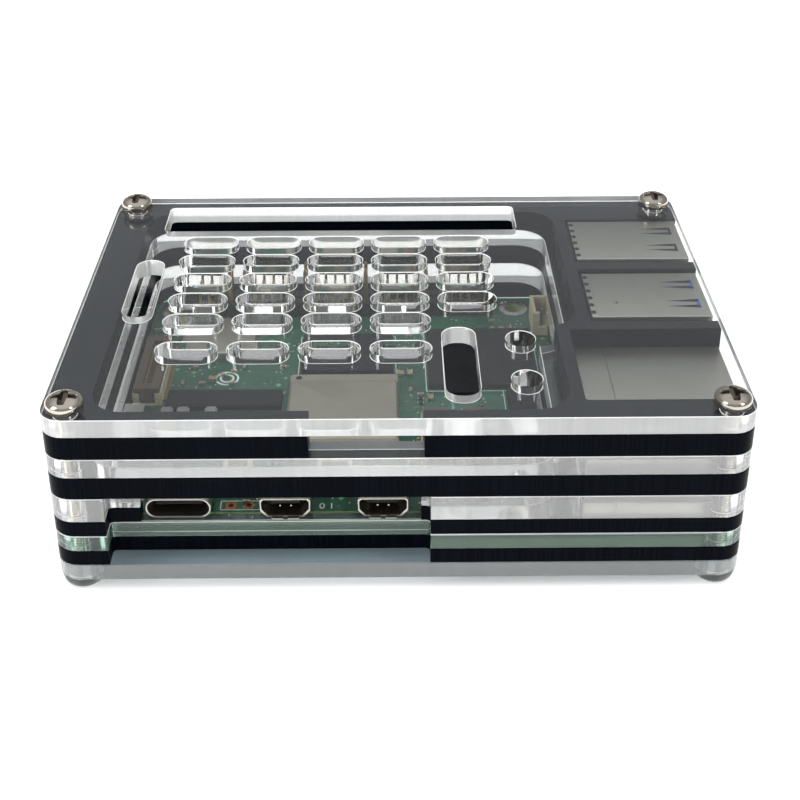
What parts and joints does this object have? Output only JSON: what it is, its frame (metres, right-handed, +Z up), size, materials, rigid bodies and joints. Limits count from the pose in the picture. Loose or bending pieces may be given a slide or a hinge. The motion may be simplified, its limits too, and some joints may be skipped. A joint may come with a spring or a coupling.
{
  "type": "single board computer",
  "caption": "Small circuit-board computer clamped in a stack of clear and black laser-cut acrylic layers, vented top, four corner screws and bumper feet.",
  "frame": {"origin": "on the ground, under the middle of the case", "axes": "+X along the case's length towards the network and USB jacks, +Y towards the pin header, +Z up"},
  "size_m": [0.0938, 0.0662, 0.0301],
  "materials": {
    "clear_acrylic": "clear cast sheet, polished faces",
    "black_acrylic": "glossy black sheet with laser-cut edges",
    "nickel_steel": "nickel-plated steel",
    "shell_steel": "plated sheet steel",
    "lid_metal": "matt nickel-plated lid",
    "board_green": "green solder mask",
    "chip_black": "moulded package",
    "black_plastic": "moulded",
    "cream_plastic": "moulded",
    "brown_plastic": "moulded",
    "blue_plastic": "moulded",
    "clear_rubber": "clear polyurethane",
    "white_plastic": "moulded"
  },
  "bodies": {
    "case": {"battery_connector": "cream_plastic", "bottom_plate": "clear_acrylic", "camera_connector_1_body": "cream_plastic", "camera_connector_2_body": "cream_plastic", "card_socket": "shell_steel", "circuit_board": "board_green", "display_socket_shell_1": "shell_steel", "display_socket_shell_2": "shell_steel", "display_socket_tongue_1": "black_plastic", "display_socket_tongue_2": "black_plastic", "expansion_connector_body": "cream_plastic", "fan_connector": "cream_plastic", "foot_front_left": "clear_rubber", "foot_front_right": "clear_rubber", "foot_rear_left": "clear_rubber", "foot_rear_right": "clear_rubber", "gpio_header": "black_plastic", "inductor_1": "shell_steel", "inductor_2": "shell_steel", "inductor_3": "shell_steel", "io_controller_chip": "chip_black", "layer_2_black": "black_acrylic", "layer_3_clear": "clear_acrylic", "layer_4_black": "black_acrylic", "layer_5_clear": "clear_acrylic", "layer_6_black": "black_acrylic", "layer_6_black_corner": "black_acrylic", "layer_7_clear": "clear_acrylic", "layer_8_black": "black_acrylic", "memory_chip": "chip_black", "network_chip": "chip_black", "network_jack_insert": "black_plastic", "network_jack_shell": "shell_steel", "nut_front_left": "nickel_steel", "nut_front_right": "nickel_steel", "nut_rear_left": "nickel_steel", "nut_rear_right": "nickel_steel", "power_button_housing": "shell_steel", "power_management_chip": "chip_black", "power_over_network_header": "black_plastic", "power_socket_shell": "shell_steel", "power_socket_tongue": "black_plastic", "processor_lid": "lid_metal", "processor_substrate": "board_green", "screw_front_left": "nickel_steel", "screw_front_right": "nickel_steel", "screw_rear_left": "nickel_steel", "screw_rear_right": "nickel_steel", "serial_connector": "cream_plastic", "status_led": "white_plastic", "top_plate": "clear_acrylic", "usb2_insulator": "black_plastic", "usb2_shell": "shell_steel", "usb3_insulator": "blue_plastic", "usb3_shell": "shell_steel", "wireless_module_shield": "shell_steel"},
    "power_button": {"power_button_plunger": "white_plastic"},
    "camera_latch_1": {"camera_connector_1_latch": "brown_plastic"},
    "camera_latch_2": {"camera_connector_2_latch": "brown_plastic"},
    "expansion_latch": {"expansion_connector_latch": "brown_plastic"}
  },
  "joints": [
    {"name": "power_button_press", "type": "slide", "parent": "case", "child": "power_button", "axis": [1, 0, 0], "range_m": [0, 0.00025], "stiffness_N_per_m": 400, "springref_m": -0.0005},
    {"name": "camera_latch_1_lift", "type": "slide", "parent": "case", "child": "camera_latch_1", "axis": [0, 0, 1], "range_m": [0, 0.0009]},
    {"name": "camera_latch_2_lift", "type": "slide", "parent": "case", "child": "camera_latch_2", "axis": [0, 0, 1], "range_m": [0, 0.0009]},
    {"name": "expansion_latch_lift", "type": "slide", "parent": "case", "child": "expansion_latch", "axis": [0, 0, 1], "range_m": [0, 0.0009]}
  ]
}
